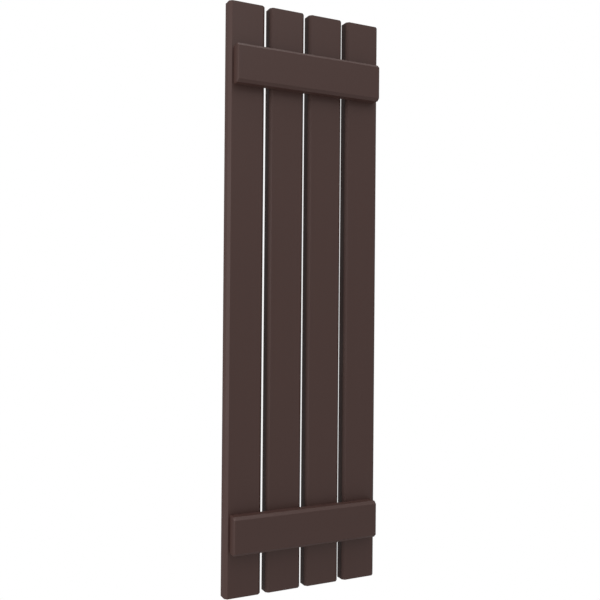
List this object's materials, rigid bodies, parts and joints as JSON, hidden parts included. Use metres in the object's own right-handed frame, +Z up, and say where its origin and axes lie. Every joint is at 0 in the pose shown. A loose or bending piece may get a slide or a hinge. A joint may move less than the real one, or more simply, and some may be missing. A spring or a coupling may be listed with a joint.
{
  "type": "board and batten shutter",
  "caption": "Exterior board and batten shutter of spaced upright boards, held together by battens near the top and the bottom, painted dark brown.",
  "frame": {"origin": "middle of the back face of board_2, the second board from the left as seen from in front", "axes": "+Z up, +X to the right as seen from in front, +Y out of the backs of the boards into the wall; the front faces -Y"},
  "size_m": [0.3937, 0.0508, 1.3462],
  "materials": {
    "brown_paint": "satin dark brown paint on cellular PVC board",
    "stainless_screw": "plain stainless steel"
  },
  "bodies": {
    "root": {"board_1": "brown_paint", "board_2": "brown_paint", "board_3": "brown_paint", "board_4": "brown_paint", "top_batten": "brown_paint", "bottom_batten": "brown_paint", "screw_top_1_upper": "stainless_screw", "screw_top_1_lower": "stainless_screw", "screw_top_2_upper": "stainless_screw", "screw_top_2_lower": "stainless_screw", "screw_top_3_upper": "stainless_screw", "screw_top_3_lower": "stainless_screw", "screw_top_4_upper": "stainless_screw", "screw_top_4_lower": "stainless_screw", "screw_bottom_1_upper": "stainless_screw", "screw_bottom_1_lower": "stainless_screw", "screw_bottom_2_upper": "stainless_screw", "screw_bottom_2_lower": "stainless_screw", "screw_bottom_3_upper": "stainless_screw", "screw_bottom_3_lower": "stainless_screw", "screw_bottom_4_upper": "stainless_screw", "screw_bottom_4_lower": "stainless_screw"}
  },
  "joints": []
}
